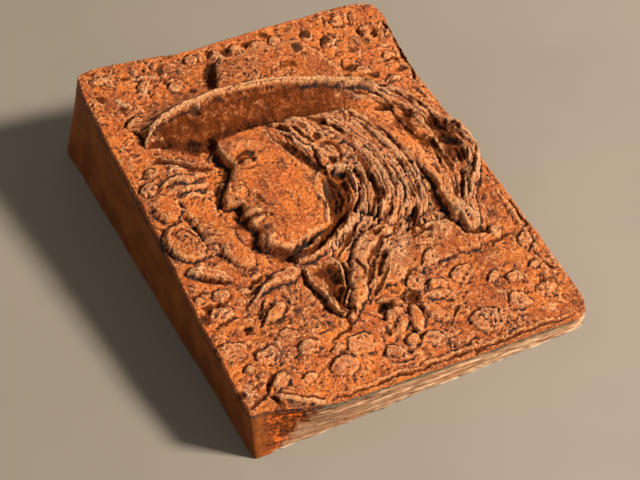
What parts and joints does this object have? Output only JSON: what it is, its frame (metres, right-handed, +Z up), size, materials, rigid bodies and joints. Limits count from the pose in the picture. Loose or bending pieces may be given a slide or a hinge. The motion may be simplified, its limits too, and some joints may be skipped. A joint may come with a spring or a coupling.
{
  "type": "cast plaster relief plaque",
  "caption": "Wedge-shaped cast plaster block with a raised profile head in a wide-brimmed hat on a ground of leaves, petals and pebbles.",
  "frame": {"origin": "middle of the underside, at the middle of the bounding box's bottom", "axes": "+X along the picture's width, to its right; +Y up the picture; +Z up, out of the underside"},
  "size_m": [0.105, 0.119, 0.0333],
  "materials": {
    "plaster": "chalky matte plaster",
    "stain": "satin terracotta stain rubbed over plaster, dark in the hollows",
    "dark_stain": "satin dark brown stain over plaster"
  },
  "bodies": {
    "root": {"plaster_body": "plaster", "stained_face": "stain", "lower_edge_bead": "stain", "right_edge_bead": "stain", "hat_crown": "stain", "hat_brim": "dark_stain", "brim_droop": "stain", "head": "stain", "ear": "stain", "neck": "dark_stain", "collar_tip": "dark_stain", "scarf_flap": "stain", "shoulder": "stain", "flower_center": "dark_stain", "flower_petals": "stain", "branch": "stain", "upper_leaf": "stain", "lower_leaf": "stain", "side_leaf": "stain", "ray_strokes": "dark_stain", "top_pebbles": "stain", "left_pebbles": "stain", "lower_left_pebbles": "stain", "lower_right_pebbles": "stain", "hair_lock_1": "stain", "hair_lock_2": "stain", "hair_lock_3": "stain", "hair_lock_4": "stain", "hair_lock_5": "stain"}
  },
  "joints": []
}
